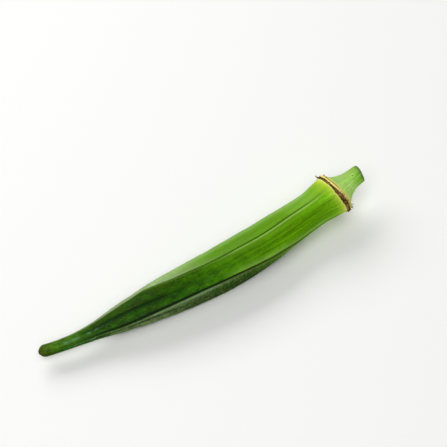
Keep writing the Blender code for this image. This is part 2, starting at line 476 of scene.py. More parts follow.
def split_edges(angle):
    """Where the split starts and ends along the pod, in mm from the tip, at these angles in radians."""
    half = np.array([along(SPLIT_HALF_WIDTH, d) for d in upward(angle)])
    middle = SPLIT_MIDDLE + 0.22 * ring_noise(angle, 9, 1.5)
    low = middle - half * (1 + 0.35 * ring_noise(angle, 46, 4.1)) + 0.10 * ring_noise(angle, 110, 8.3)
    high = middle + half * (1 + 0.45 * ring_noise(angle, 38, 6.7)) + 0.12 * ring_noise(angle, 100, 2.2)
    return low, high


def column_angles(x):
    angles = np.array(ridge_angles(x))
    return np.radians(angles[FACE_OF] + (angles[FACE_OF + 1] - angles[FACE_OF]) * SHARE_OF)


RING_ANGLES = column_angles(SPLIT_MIDDLE)
SPLIT_LOW, SPLIT_HIGH = split_edges(RING_ANGLES)
CRACK_WANDER = 0.3 * ring_noise(RING_ANGLES, 14, 5.5) + 0.1 * ring_noise(RING_ANGLES, 70, 3.3)
CRACK_LINE = SPLIT_MIDDLE + CRACK_OFFSET + CRACK_WANDER
CRACK_FADE = np.array([along(CRACK_STRENGTH, d) for d in upward(RING_ANGLES)])
print(f"the split is {(SPLIT_HIGH - SPLIT_LOW).min():.2f} to {(SPLIT_HIGH - SPLIT_LOW).max():.2f} mm wide")


def ring_cuts(x):
    """How deep the split and the second crack are at each column of the ring at x, from 0 to 1."""
    opens = smooth_step(SPLIT_LOW - SPLIT_EDGE, SPLIT_LOW + SPLIT_EDGE, x)
    closes = smooth_step(SPLIT_HIGH + SPLIT_EDGE, SPLIT_HIGH - SPLIT_EDGE, x)
    return opens * closes, bell(x - CRACK_LINE, CRACK_WIDTH) * CRACK_FADE


# %% [markdown]
# ## The skin
# A tube could be a cylinder that is cut into rings. A grid is simpler here: it is a flat sheet whose
# rows become rings and whose columns run from tip to stalk. It is rolled up by giving every point its
# place from the tables, its two long edges are merged, and its two ends are closed. The sheet's points
# keep the measures as attributes, with the two sides that differ in colour: the back, which is downy
# and pale, partly with a painted sheen, and the belly, which is greyer, and darker in parts with painted
# shade.

# %% Place in the solid's frame
def form_place():
    """The move that takes the tables' form to the middle of the solid's box, in millimetres."""
    points = np.concatenate([ring_of_points(x, FACE_OF, SHARE_OF, 0) for x in STATIONS])
    low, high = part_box(NODE)
    middle = (np.array(low) + np.array(high)) / 2 / MM
    mine = (points.min(0) + points.max(0)) / 2
    return np.array([middle[0] - mine[0], middle[1] - mine[1], high.z / MM - points[:, 2].max()])


PLACE = form_place()
print("the form moves by", PLACE.round(2), "mm")


def skin_place(x, degrees, raised=0):
    """The place of the skin in mm, in the solid's frame: at x, so many degrees up from -Y, raised so far."""
    angles = np.array(ridge_angles(x))
    degrees = (degrees - angles[0]) % 360 + angles[0]
    face = min(int(np.searchsorted(angles, degrees, side="right")) - 1, RIDGES - 1)
    share = (degrees - angles[face]) / (angles[face + 1] - angles[face])
    return ring_of_points(x, np.array([face]), np.array([share]), raised)[0] + PLACE


# %% The sides of the pod, and the lips of the ring
# The back and the belly meet on the low back face: each is 1 where its side is, and 0 elsewhere.
BETWEEN = FACE_OF == LOW_BACK_FACE
BACK_SIDE = np.where(BETWEEN, smooth_step(0.5, 0, SHARE_OF), FACE_OF == BACK_FACE)
UNDERNEATH = (FACE_OF == UNDER_FACE) | (FACE_OF == BELLY_FACE)
BELLY_SIDE = np.where(BETWEEN, smooth_step(0.4, 0.9, SHARE_OF), UNDERNEATH)
RING_UPWARD = upward(RING_ANGLES)
FRONT_RING = smooth_step(78, 56, RING_UPWARD) * smooth_step(-120, -70, RING_UPWARD)
# The yellow lip on the pod's side is wider at the lower front and towards the back.
LIP_WIDENING = 1 + 0.9 * bell(RING_UPWARD + 8, 24) + 0.9 * bell(RING_UPWARD - 140, 24)
# On the cap's side it is narrow underneath, and uneven.
CAP_LIP_WIDENING = 1 - 0.5 * bell(RING_UPWARD + 105, 60) + 0.25 * ring_noise(RING_ANGLES, 16, 9.9)
print(f"{BELLY_SIDE.mean():.0%} of the columns are on the belly")

# %% Sheets, points and attributes
def select_none():
    bpy.ops.object.select_all(action="DESELECT")


def read_all(items, name, width=1, kind=float):
    """What each of a mesh's items says under this name: one number, or a row of them."""
    values = np.empty(len(items) * width, dtype=kind)
    items.foreach_get(name, values)
    return values.reshape(-1, width) if width > 1 else values


def read_points(piece):
    return read_all(piece.data.vertices, "co", 3)


def write_points(piece, points):
    piece.data.vertices.foreach_set("co", points.ravel())
    piece.data.update()


def sheet_grid(name, rings, columns):
    """A flat sheet of faces, one row of points for each ring and one column more than the columns."""
    select_none()
    bpy.ops.mesh.primitive_grid_add(x_subdivisions=columns, y_subdivisions=rings - 1, size=2)
    sheet = bpy.context.object
    sheet.name = name
    points = read_points(sheet)
    column = np.round((points[:, 0] + 1) / 2 * columns).astype(int) % columns
    ring = np.round((points[:, 1] + 1) / 2 * (rings - 1)).astype(int)
    return sheet, ring, column


def keep_measure(piece, name, values, kind="FLOAT"):
    """Stores one number, or one vector, for each point of a piece as an attribute."""
    layer = piece.data.attributes.new(name, kind, "POINT")
    layer.data.foreach_set("value" if kind == "FLOAT" else "vector", np.asarray(values, np.float32).ravel())


def face_outwards():
    """Turns every face of the mesh in edit mode outwards, and leaves that mode."""
    bpy.ops.mesh.select_all(action="SELECT")
    bpy.ops.mesh.normals_make_consistent(inside=False)
    bpy.ops.object.mode_set(mode="OBJECT")


MERGE_DISTANCE = 0.002 * MM


def close_tube(tube):
    """Merges the sheet's long edges, closes both ends and points the faces outwards."""
    bpy.ops.object.mode_set(mode="EDIT")
    bpy.ops.mesh.select_all(action="SELECT")
    bpy.ops.mesh.remove_doubles(threshold=MERGE_DISTANCE)
    bpy.ops.mesh.select_all(action="DESELECT")
    bpy.ops.mesh.select_mode(type="EDGE")
    bpy.ops.mesh.select_non_manifold()
    bpy.ops.mesh.edge_face_add()
    face_outwards()
    tube.data.shade_smooth()


def finish_piece(piece, material):
    """Gives a piece its material, and says what it rides on."""
    piece.data.materials.clear()
    piece.data.materials.append(material)
    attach(piece, "root")
    print(f"{piece.name}: {len(piece.data.polygons)} faces")


print("points closer than", MERGE_DISTANCE / MM, "mm are merged")

# %% Roll a sheet into the skin
UNDULATION = 0.13
# The tip is pinched in behind its blunt end: how much, where, and how wide.
TIP_PINCH, PINCH_PLACE, PINCH_WIDTH = 0.14, 6.5, 2.2
# On top, the lip on the cap's side stands up: how high, how far round, and where along the pod.
TOP_LIP_HEIGHT, TOP_LIP_ANGLE, TOP_LIP_PLACE = 0.45, 157, 140.2
# A nick in the stalk: where it is along the pod and round it, how deep and wide, and its raised rim.
NICK_PLACE, NICK_ANGLE, NICK_DEPTH, NICK_WIDTH = 149.4, 83.5, 0.12, 0.3
NICK_RIM, NICK_RIM_WIDTH = 0.75, 0.28
# The relief is lower near the cut end of the stalk: from where on, and by how much.
STALK_END, STALK_RELIEF = 150, 0.5
# Where the ridges stand less than this far from the axis, in mm, all relief gets lower with them.
FULL_RELIEF_RADIUS = 9


def lumps(x, spread, length):
    """Smooth noise over the skin at x: so long along the pod, and narrower with a larger spread."""
    angles = column_angles(x)
    return noise_at(x / length, spread * np.cos(angles), spread * np.sin(angles))


def skin_relief(x, found):
    """How far each column of the ring at x stands proud of the form, in millimetres."""
    size = min(along(RIDGE_RADIUS, x) / FULL_RELIEF_RADIUS, 1)
    down = (
        SEAM_DEPTH * found["seam"]
        + FOLD_DEPTH * found["fold"]
        + TIP_PINCH * bell(x - PINCH_PLACE, PINCH_WIDTH)
        + NICK_DEPTH * found["nick"]
    )
    up = (
        VEIN_HEIGHT * found["vein"]
        + WELT_HEIGHT * found["welt"]
        + UNDULATION * lumps(x, 1.3, 9)
        + TOP_LIP_HEIGHT * bell(x - TOP_LIP_PLACE, 1.2) * bell(RING_UPWARD - TOP_LIP_ANGLE, 30)
        + NOTCH_HEIGHT * found["crest"] * lumps(x, 2, 1.6) * smooth_step(125, 90, x)
    )
    raised = (up - down) * size
    if x < TIP_ROUNDING:
        raised = raised * math.sqrt(x / TIP_ROUNDING)
    raised = raised * (1 - found["split"]) - SPLIT_DEPTH * found["split"] - CRACK_DEPTH * found["crack"]
    return raised * (STALK_RELIEF if x > STALK_END else 1)


def skin_rings():
    """The points of every ring of the skin, and the measures that the colours read."""
    rings, measures = [], {}
    for x in STATIONS:
        found = ring_measures(x)
        found["split"], found["crack"] = ring_cuts(x)
        # The belly's veins fade out sooner.
        found["vein"] = found["vein"] * (1 - 0.85 * BELLY_SIDE * smooth_step(120, 104, x))
        round_it = np.radians(upward(column_angles(x)) - NICK_ANGLE) * along(RIDGE_RADIUS, x)
        from_nick = np.hypot(x - NICK_PLACE, round_it)
        found["nick"] = bell(from_nick, NICK_WIDTH)
        found["nick_rim"] = bell(from_nick - NICK_RIM, NICK_RIM_WIDTH)
        rings.append(ring_of_points(x, FACE_OF, SHARE_OF, skin_relief(x, found)))
        pod_side, cap_side = (x - SPLIT_LOW) / LIP_WIDENING, (x - SPLIT_HIGH) / CAP_LIP_WIDENING
        found["lip"] = np.where(x < SPLIT_MIDDLE, pod_side, cap_side)
        found["station"] = np.full(COLUMNS, x)
        found["back"], found["belly"], found["front_ring"] = BACK_SIDE, BELLY_SIDE, FRONT_RING
        for name, values in found.items():
            measures.setdefault(name, []).append(values)
    return np.array(rings), {name: np.array(values) for name, values in measures.items()}


def make_skin():
    sheet, ring, column = sheet_grid("pod_skin", len(STATIONS), COLUMNS)
    rings, measures = skin_rings()
    points = rings[ring, column] + PLACE
    points[:, 2] = np.maximum(points[:, 2], 0)
    write_points(sheet, points * MM)
    for name, values in measures.items():
        keep_measure(sheet, name, values[ring, column])
    # The patterns' own coordinates, in mm: along the pod, and on a circle 20 mm across.
    turn = (FACE_OF + SHARE_OF)[column] / RIDGES * math.tau
    grain = np.stack([STATIONS[ring], 10 * np.cos(turn), 10 * np.sin(turn)], 1)
    keep_measure(sheet, "grain", grain, "FLOAT_VECTOR")
    close_tube(sheet)
    return sheet


skin = make_skin()
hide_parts(NODE)
print("the skin stands for the solid", NODE)

# %% [markdown]
# ## Colours and nodes
# A colour picked on screen is in sRGB, and the renderer works with light itself, so one function turns
# the one into the other. One small function adds a node, with its settings and its links. Nodes could be
# placed by hand in the editor, but then a value that is wrong is hard to find again.

# %% Helpers for materials
def colour(value):
    """A linear colour from an sRGB hex value, or a grey from its number."""
    if not isinstance(value, str):
        return (value, value, value, 1)
    parts = [int(value[i : i + 2], 16) / 255 for i in (1, 3, 5)]
    return (*(p / 12.92 if p <= 0.04045 else ((p + 0.055) / 1.055) ** 2.4 for p in parts), 1)


def feed(node, inputs):
    """Sets each input of a node to a number or an sRGB hex value, or links it to another node's output."""
    for socket, value in inputs.items():
        if isinstance(value, bpy.types.NodeSocket):
            node.id_data.links.new(value, node.inputs[socket])
        else:
            node.inputs[socket].default_value = colour(value) if isinstance(value, str) else value


def add(tree, kind, inputs=None, stops=None, out=0, **settings):
    """Adds a node with its settings and inputs, and gives back one of its outputs.

    The stops of a ramp are its places, each with an sRGB hex value or the number of a grey.
    """
    made = tree.nodes.new("ShaderNode" + kind)
    for name, value in settings.items():
        setattr(made, name, value)
    feed(made, inputs or {})
    if stops:
        elements = made.color_ramp.elements
        elements.remove(elements[1])
        elements[0].position, elements[0].color = stops[0][0], colour(stops[0][1])
        for place, value in stops[1:]:
            elements.new(place).color = colour(value)
    return made.outputs[out]


# The numbers of a Mix node's colour sockets.
FACTOR, COLOUR_A, COLOUR_B, COLOUR_OUT = 0, 6, 7, 2


def new_material(name):
    material = bpy.data.materials.new(name)
    material.use_nodes = True
    return material, material.node_tree, material.node_tree.nodes["Principled BSDF"]


print("mid grey on screen is", round(colour("#808080")[0], 2), "of white light")

# %% [markdown]
# ## The skin's colours
# Okra skin is a living, waxy skin: a dielectric with a soft shine, never a mirror. Its green goes from
# olive at the tip through deep green to a yellow green at the dry ring, and on to the pale cap. The back
# is paler where down covers it, and paler still with a painted sheen; the belly is greyer with down, and
# darker in parts with painted shade. One picked green with noise over it would look like paint, so each
# side has its own run of colours, in millimetres from the tip.

# %% Runs of colour along the pod
FRONT_ALONG = [
    (0, "#3c4209"), (2.5, "#44600c"), (7, "#43700c"), (13, "#3c6e0a"), (19, "#2e5c06"), (28, "#204802"),
    (46, "#204c02"), (60, "#245800"), (69, "#2d5e00"), (81, "#3c7200"), (93, "#487d00"),
    (105, "#538b00"), (117, "#5a9400"), (128, "#609d02"), (132.5, "#6ba808"), (135, "#7cb814"),
    (137, "#9cc83a"), (142, "#b2e068"), (147, "#a4da5c"), (149.5, "#88c832"), (151.9, "#74b01c"),
    (152.7, "#557e20"), (153, "#46601c"),
]
# The back: paler with down, and paler still with a painted sheen.
BACK_ALONG = [
    (0, "#3c4209"), (2.5, "#44600c"), (10, "#426610"), (20, "#4a6a16"), (32, "#708c4a"), (43, "#94ae78"),
    (54, "#90ac74"), (62, "#84a45e"), (72, "#6a9630"), (82, "#568a02"), (100, "#568c00"),
    (114, "#5c9002"), (121, "#6a9e24"), (128, "#70a22c"), (133, "#76a81c"), (137, "#96b82c"),
    (142, "#98c460"), (148, "#90bc4e"), (152, "#7aaa28"), (152.7, "#557c20"), (153, "#46601c"),
]
# The belly: greyer with down, and darker in parts with painted shade.
BELLY_ALONG = [
    (0, "#3c4209"), (2.5, "#3c560a"), (10, "#1e5a00"), (18, "#246200"), (26, "#4c7a2c"), (38, "#769058"),
    (50, "#6e8a54"), (62, "#56783a"), (76, "#34600e"), (92, "#2e5400"), (105, "#50881a"),
    (117, "#88b448"), (124, "#78ac20"), (132, "#78a814"), (136.5, "#96bc2c"), (142, "#a0cc60"),
    (149, "#88bc38"), (153, "#6ea014"),
]
print("colour stops:", len(FRONT_ALONG), len(BACK_ALONG), len(BELLY_ALONG))


def skin_green(tree, found, shift):
    """The green of the three sides, each by its own run of colours, mixed by the side's measure."""
    moved = add(tree, "Math", {0: found["station"], 1: shift}, operation="ADD")
    share = add(tree, "Math", {0: moved, 1: LENGTH}, operation="DIVIDE")
    greens = [
        add(tree, "ValToRGB", {"Fac": share}, stops=[(x / LENGTH, shade) for x, shade in run])
        for run in (FRONT_ALONG, BACK_ALONG, BELLY_ALONG)
    ]
    green = greens[0]
    for side, other in zip(("back", "belly"), greens[1:]):
        inputs = {FACTOR: found[side], COLOUR_A: green, COLOUR_B: other}
        green = add(tree, "Mix", inputs, out=COLOUR_OUT, data_type="RGBA")
    return green


# %% [markdown]
# ## Patterns and layers of the skin
# A pod's green is never even: it has streaks, blotches, specks and down. One noise for all of them would
# look like a printed pattern, so each has its own, in millimetres of real skin. The tables say which
# patterns there are, which part of each is seen and where, and what lies over what. Loops then turn the
# rows into nodes, because a table is easier to check than many nodes written out one by one.

# %% Patterns and where they show
# Each pattern: its lumps to the mm along and across the skin, its detail and roughness, and how it is
# moved, and turned in radians, so that no two of them lie alike.
PATTERNS = {
    # Streaks, 20 mm long and 1 mm wide.
    "streaks": (0.05, 1, 3, 0.6, (0, 0, 0), 0),
    # Blotches, 5 mm long and 3 mm wide.
    "blotches": (0.2, 0.35, 4, 0.6, (0, 0, 0), 0),
    # Specks, 1.1 mm long and 0.5 mm wide.
    "specks": (0.9, 2, 2, 0.5, (0, 0, 0), 0),
    # Olive patches, 6 mm long and 2 mm wide.
    "patches": (0.16, 0.5, 3, 0.65, (31, 7, 0), 0),
    # The down on the belly lies across it, in stripes 0.8 mm wide and 4.5 mm long.
    "stripes": (1.25, 0.22, 3, 0.6, (0, 0, 0), 0.12),
    # Fine lines along the cap and the stalk, 0.3 mm apart.
    "lines": (0.1, 3.2, 2, 0.5, (0, 0, 0), 0),
}
# Each range: what it follows, from where to where, and its value at both ends.
RANGES = {
    # How far the blotches move the green's borders along the pod, in mm: hardly at the ring and the tip.
    "reach_at_ring": ("station", 112, 130, 16, 0),
    "reach_at_tip": ("station", 3, 22, 1, 16),
    # Lighter and darker: blotches in the narrow half, streaks towards the ring, and specks all over.
    "towards_ring": ("station", 62, 116, 0, 1),
    "blotch_tone": ("blotches", 0.32, 0.68, 0.5, 1.55),
    "streak_tone": ("streaks", 0.32, 0.68, 0.62, 1.36),
    "even_on_cap": ("station", 134, 142, 0, 0.65),
    "narrow_speck_tone": ("specks", 0.3, 0.7, 0.62, 1.42),
    "wide_speck_tone": ("specks", 0.3, 0.7, 0.82, 1.18),
    "olive_patch": ("patches", 0.4, 0.62, 0.1, 0.65),
    # A painted bluish highlight in patches over the narrow end.
    "highlight_patch": ("specks", 0.56, 0.72, 0, 0.22),
    "highlight_at_narrow_end": ("station", 45, 14, 0, 1),
    "dark_stripe": ("stripes", 0.52, 0.36, 0, 0.5),
    "light_stripe": ("stripes", 0.46, 0.7, 0, 0.5),
    "before_wide_part": ("station", 116, 82, 0, 1),
    "past_tip": ("station", 12, 34, 0, 1),
    "cap_line": ("lines", 0.48, 0.7, 0, 0.4),
    "on_cap": ("station", 141, 144, 0, 1),
    "spots": ("specks", 0.42, 0.56, 0, 1),
    "roughness": ("blotches", 0.3, 0.7, 0.4, 0.56),
}
# The lips of the dry ring, by the distance from the split: from this far before it to as far past it.
LIP_REACH = 3
LIP_RAMPS = {
    "lip_colour": [
        (0, "#a2c818"), (0.25, "#b0d020"), (0.36, "#c8dc3c"), (0.45, "#e0e28a"), (0.48, "#b8a03a"),
        (0.497, "#3a2a0c"), (0.515, "#54400f"), (0.54, "#c8b25c"), (0.58, "#f0e284"), (0.76, "#e8e07e"),
        (0.9, "#d4e67c"),
    ],
    "lip_amount": [
        (0, 0), (0.16, 0.15), (0.32, 0.5), (0.42, 0.85), (0.475, 1), (0.8, 0.95), (0.9, 0.6), (1, 0),
    ],
    "scuffed_part": [(0.45, 0), (0.5, 0.9), (0.62, 0.7), (0.74, 0)],
}
print(len(PATTERNS), "patterns and", len(RANGES), "ranges")

# %% What lies over the green
# Each layer, from the lowest up: its colour, how much of it shows, and what says where it shows.
LAYERS = [
    ("#42540a", 1, "olive_patch", "olive"),
    # A painted bluish highlight in patches over the narrow end.
    ("#5d8a62", 1, "highlight_patch", "highlight_at_narrow_end"),
    # The belly's down, light over dark: the light stripes are partly pale hairs, partly painted sheen.
    ("#142a0a", 1, "dark_stripe", "belly", "before_wide_part", "past_tip"),
    ("#708448", 1, "light_stripe", "belly", "before_wide_part", "past_tip"),
    # Painted shade beside the folds' creases.
    ("#062400", 0.72, "hollow"),
    ("#7cbc20", 0.36, "brow"),
    ("#8fc424", 0.45, "vein"),
    # Painted highlight on the raised welts.
    ("#78b02c", 0.24, "welt"),
    ("#a2b688", 0.72, "down"),
    ("#1c2c00", 0.42, "shade"),
    ("#9aae86", 0.42, "fringe"),
    # Painted highlight beside the ridges.
    ("#b0d86c", 0.6, "keel_highlight"),
    # Painted highlight below the fold's crease.
    ("#6c9c6c", 0.55, "flank_highlight"),
    # Before the back ridge: down, with a painted sheen.
    ("#b0d684", 0.3, "rim"),
    # Painted shade in the folds' creases.
    ("#031a00", 0.7, "fold"),
    ("#5c481c", 0.5, "rust"),
    ("#061800", 1, "seam"),
    # Painted highlight on the nick's raised rim, and painted shade in the nick.
    ("#b8ec6c", 0.5, "nick_rim"),
    ("#20562a", 0.9, "nick"),
    ("#d8eeb4", 1, "cap_line", "on_cap"),
    ("lip_colour", 1, "lip_amount"),
    # Round the front, the lip on the cap's side is scuffed brown in spots of half a millimetre.
    ("#6e4c1e", 1, "front_ring", "spots", "scuffed_part"),
    ("#4e320c", 1, "crack"),
    ("#241804", 1, "split"),
]
print(len(LAYERS), "layers")

# %% Skin material
def skin_inputs(tree):
    """Everything that the skin's layers read, by name: measures, patterns, ranges and the lip's ramps."""
    kept = [layer.name for layer in skin.data.attributes if layer.data_type == "FLOAT"]
    found = {name: add(tree, "Attribute", out="Fac", attribute_name=name) for name in kept}
    found["grain"] = add(tree, "Attribute", out="Vector", attribute_name="grain")
    for name, (lengthways, across, detail, rough, move, turn) in PATTERNS.items():
        place = {"Location": move, "Rotation": (0, 0, turn), "Scale": (lengthways, across, across)}
        space = add(tree, "Mapping", {"Vector": found["grain"], **place})
        inputs = {"Vector": space, "Scale": 1, "Detail": detail, "Roughness": rough}
        found[name] = add(tree, "TexNoise", inputs)
    for name, (source, low, high, start, end) in RANGES.items():
        found[name] = add(tree, "MapRange", {"Value": found[source], 1: low, 2: high, 3: start, 4: end})
    # The specks make the lips ragged.
    ragged = add(tree, "Math", {0: found["specks"], 1: 0.7, 2: -0.35}, operation="MULTIPLY_ADD")
    lip = add(tree, "Math", {0: found["lip"], 1: ragged}, operation="ADD")
    share = add(tree, "MapRange", {"Value": lip, 1: -LIP_REACH, 2: LIP_REACH})
    for name, stops in LIP_RAMPS.items():
        found[name] = add(tree, "ValToRGB", {"Fac": share}, stops=stops)
    return found


def skin_tone(tree, found):
    """How much lighter or darker the green is: a number near 1."""
    streaks = add(tree, "Mix", {0: found["even_on_cap"], 2: found["streak_tone"], 3: 1}, data_type="FLOAT")
    pairs = ((found["blotch_tone"], streaks), (found["narrow_speck_tone"], found["wide_speck_tone"]))
    tones = {}
    for number, (narrow, wide) in enumerate(pairs):
        inputs = {0: found["towards_ring"], 2: narrow, 3: wide}
        tones[number] = add(tree, "Mix", inputs, data_type="FLOAT")
    both = add(tree, "Math", tones, operation="MULTIPLY")
    # The down on the back evens out the tone there.
    evened = add(tree, "Math", {0: found["back"], 1: 0.6}, operation="MULTIPLY")
    return add(tree, "Mix", {0: evened, 2: both, 3: 1}, data_type="FLOAT")


def skin_material():
    """Fresh okra skin, grown: waxy plant tissue, satin, with darker relief lines and a dry yellow lip."""
    material, tree, shader = new_material("waxy_okra_skin")
    found = skin_inputs(tree)
    reach = {0: found["reach_at_ring"], 1: found["reach_at_tip"]}
    centred = add(tree, "Math", {0: found["blotches"], 1: 0.5}, operation="SUBTRACT")
    shift = {0: centred, 1: add(tree, "Math", reach, operation="MINIMUM")}
    green = skin_green(tree, found, add(tree, "Math", shift, operation="MULTIPLY"))
    surface = add(tree, "VectorMath", {0: green, "Scale": skin_tone(tree, found)}, operation="SCALE")
    for shade, amount, *places in LAYERS:
        for name in places:
            amount = add(tree, "Math", {0: found[name], 1: amount}, operation="MULTIPLY")
        inputs = {FACTOR: amount, COLOUR_A: surface, COLOUR_B: found.get(shade, shade)}
        surface = add(tree, "Mix", inputs, out=COLOUR_OUT, data_type="RGBA")

    # The dry lips are rougher than the wax, and the downy belly is nearly matt.
    rough = found["roughness"]
    for where, value in (("lip_amount", 0.7), ("belly", 0.95)):
        rough = add(tree, "Mix", {0: found[where], 2: rough, 3: value}, data_type="FLOAT")

    # Bump: the streaks, then a fine grain of 0.3 mm.
    streaks = {"Height": found["streaks"], "Strength": 0.3, "Distance": 0.2 * MM}
    fine = add(tree, "TexNoise", {"Vector": found["grain"], "Scale": 3.3, "Detail": 2})
    grain = {"Height": fine, "Strength": 0.3, "Distance": 0.08 * MM, "Normal": add(tree, "Bump", streaks)}
    bump = add(tree, "Bump", grain)
    feed(shader, {"Base Color": surface, "Roughness": rough, "Normal": bump})
    feed(shader, {"IOR": 1.4, "Specular IOR Level": 0.07})
    return material


finish_piece(skin, skin_material())
print("skin material:", len(skin.data.materials[0].node_tree.nodes), "nodes")

# %% [markdown]
# ## Dry tissue in the split
# The torn tissue in the split has dried to a brown crust of short fibres, redder in one place on the
# front. Bump alone would leave it flat where it is seen from the side, so it is real relief: a torus,
# moved into the split and squeezed between its edges, then roughened by noise finer than half a
# millimetre.

# %% Dry ring
CRUST_MAJOR, CRUST_MINOR = 9, 1.0
CRUST_SEGMENTS, CRUST_SIDES = 480, 12
# How far the crust reaches under the split's edges, how deep it lies, and how thick it is, in mm.
CRUST_OVERLAP, CRUST_SINK, CRUST_THICKNESS = 0.1, 0.5, 0.34
# The redder place, which stands out, and a golden one: degrees up from -Y, and how far round they reach.
RED_PATCH, RED_REACH, RED_LIFT = 54, 10, 0.12
GOLDEN_PATCH, GOLDEN_REACH = -2, 16


def make_dry_ring():
    select_none()
    bpy.ops.mesh.primitive_torus_add(
        major_segments=CRUST_SEGMENTS,
        minor_segments=CRUST_SIDES,
        major_radius=CRUST_MAJOR * MM,
        minor_radius=CRUST_MINOR * MM,
    )
    crust = bpy.context.object
    crust.name = "dry_ring"
    torus = read_points(crust) / MM
    turn = np.arctan2(torus[:, 1], torus[:, 0])
    round_it = np.arctan2(torus[:, 2], np.hypot(torus[:, 0], torus[:, 1]) - CRUST_MAJOR)
    low, high = split_edges(turn)
    patch = bell(upward(turn) - RED_PATCH, RED_REACH) * smooth_step(0.5, -0.5, np.sin(round_it))
    points = np.empty_like(torus)
    for i, (angle, around) in enumerate(zip(turn, round_it)):
        x = (low[i] + high[i]) / 2 - ((high[i] - low[i]) / 2 + CRUST_OVERLAP) * math.sin(around)
        spot = Vector(skin_place(x, math.degrees(angle)))
        rough = noise.noise(spot / 0.33) * 0.2 + noise.noise(spot / 0.8) * 0.16
        lift = -CRUST_SINK + CRUST_THICKNESS * math.cos(around) + RED_LIFT * patch[i]
        # Only the side that shows is rough.
        lift += rough if math.cos(around) > -0.2 else 0
        points[i] = skin_place(x, math.degrees(angle), lift)
    write_points(crust, points * MM)
    keep_measure(crust, "patch", patch)
    keep_measure(crust, "golden", bell(upward(turn) - GOLDEN_PATCH, GOLDEN_REACH))
    bpy.ops.object.mode_set(mode="EDIT")
    face_outwards()
    crust.data.shade_smooth()
    return crust


CRUST_BROWN = [(0.36, "#201704"), (0.47, "#42300c"), (0.55, "#745a1c"), (0.65, "#b8a656")]
CRUST_PATCHES = [
    ("patch", [(0.34, "#4a2814"), (0.48, "#96603e"), (0.6, "#c08c64")]),
    ("golden", [(0.38, "#3a2c08"), (0.47, "#8a6f1c"), (0.58, "#c8ae4c")]),
]


def crust_material():
    """Dried torn tissue, weathered: dead matt, straw-coloured on its fibres, painted shade in its hollows.
    """
    material, tree, shader = new_material("dried_split_tissue")
    place = add(tree, "TexCoord", out="Object")
    # Fibres of 0.35 mm, in a pattern of 1.2 mm clumps.
    fibres = add(tree, "TexNoise", {"Vector": place, "Scale": 2900, "Detail": 3, "Roughness": 0.65})
    clumps = add(tree, "TexNoise", {"Vector": place, "Scale": 830, "Detail": 2})
    mixed = add(tree, "Mix", {0: 0.45, 2: fibres, 3: clumps}, data_type="FLOAT")
    # Darker where the fibres lie low: partly the tissue's own brown, partly painted shade in the hollows.
    surface = add(tree, "ValToRGB", {"Fac": mixed}, stops=CRUST_BROWN)
    for measure, stops in CRUST_PATCHES:
        shade = add(tree, "ValToRGB", {"Fac": mixed}, stops=stops)
        amount = add(tree, "Attribute", out="Fac", attribute_name=measure)
        inputs = {FACTOR: amount, COLOUR_A: surface, COLOUR_B: shade}
        surface = add(tree, "Mix", inputs, out=COLOUR_OUT, data_type="RGBA")
    bump = add(tree, "Bump", {"Height": fibres, "Strength": 0.6, "Distance": 0.15 * MM})
    feed(shader, {"Base Color": surface, "Normal": bump, "Roughness": 0.85, "Specular IOR Level": 0.2})
    return material


finish_piece(make_dry_ring(), crust_material())

# %% [markdown]
# ## Flakes on the ring
# Scraps of the dried calyx still stand on the ring: a larger dark one on top, a tattered bunch at the
# front, and a fringe of crumbs along the split. One curled flake is modelled from a small grid,
# narrowed and bent row by row, and given its thickness. The others are copies, turned and scaled.

# %% One flake
FLAKE_ROWS, FLAKE_COLUMNS = 5, 2
# How wide the flake is for its length, how much narrower each row is, and how far it bends.
FLAKE_WIDTH, FLAKE_TAPER, FLAKE_BEND = 0.55, 0.74, math.radians(-16)
FLAKE_THICKNESS = 0.06 * MM


def curled_flake():
    """One flake, 1 mm long from the origin along +Y, narrowing to its end and curling."""
    select_none()
    bpy.ops.mesh.primitive_grid_add(x_subdivisions=FLAKE_COLUMNS, y_subdivisions=FLAKE_ROWS, size=MM)
    flake = bpy.context.object
    bpy.ops.object.mode_set(mode="EDIT")
    bpy.ops.transform.translate(value=(0, MM / 2, 0))
    bpy.ops.transform.resize(value=(FLAKE_WIDTH, 1, 1), center_override=(0, 0, 0))
    per_row = FLAKE_COLUMNS + 1
    for row in range(1, FLAKE_ROWS):
        mesh = bmesh.from_edit_mesh(flake.data)
        for vertex in mesh.verts:
            vertex.select_set(vertex.index // per_row > row)
        mesh.select_flush_mode()
        hinge = next(v.co.copy() for v in mesh.verts if v.index == row * per_row + 1)
        bmesh.update_edit_mesh(flake.data)
        bpy.ops.transform.resize(value=(FLAKE_TAPER, 1, 1), center_override=(hinge.x, hinge.y, hinge.z))
        bpy.ops.transform.rotate(value=FLAKE_BEND, orient_axis="X", center_override=(0, hinge.y, hinge.z))
    bpy.ops.object.mode_set(mode="OBJECT")
    thickness = flake.modifiers.new("thickness", "SOLIDIFY")
    thickness.thickness = FLAKE_THICKNESS
    bpy.ops.object.modifier_apply(modifier=thickness.name)
    return flake


flake = curled_flake()
flake_curl = read_points(flake)[:, 2].max() / MM
print(f"one flake: {len(flake.data.polygons)} faces, it curls up {flake_curl:.2f} mm")

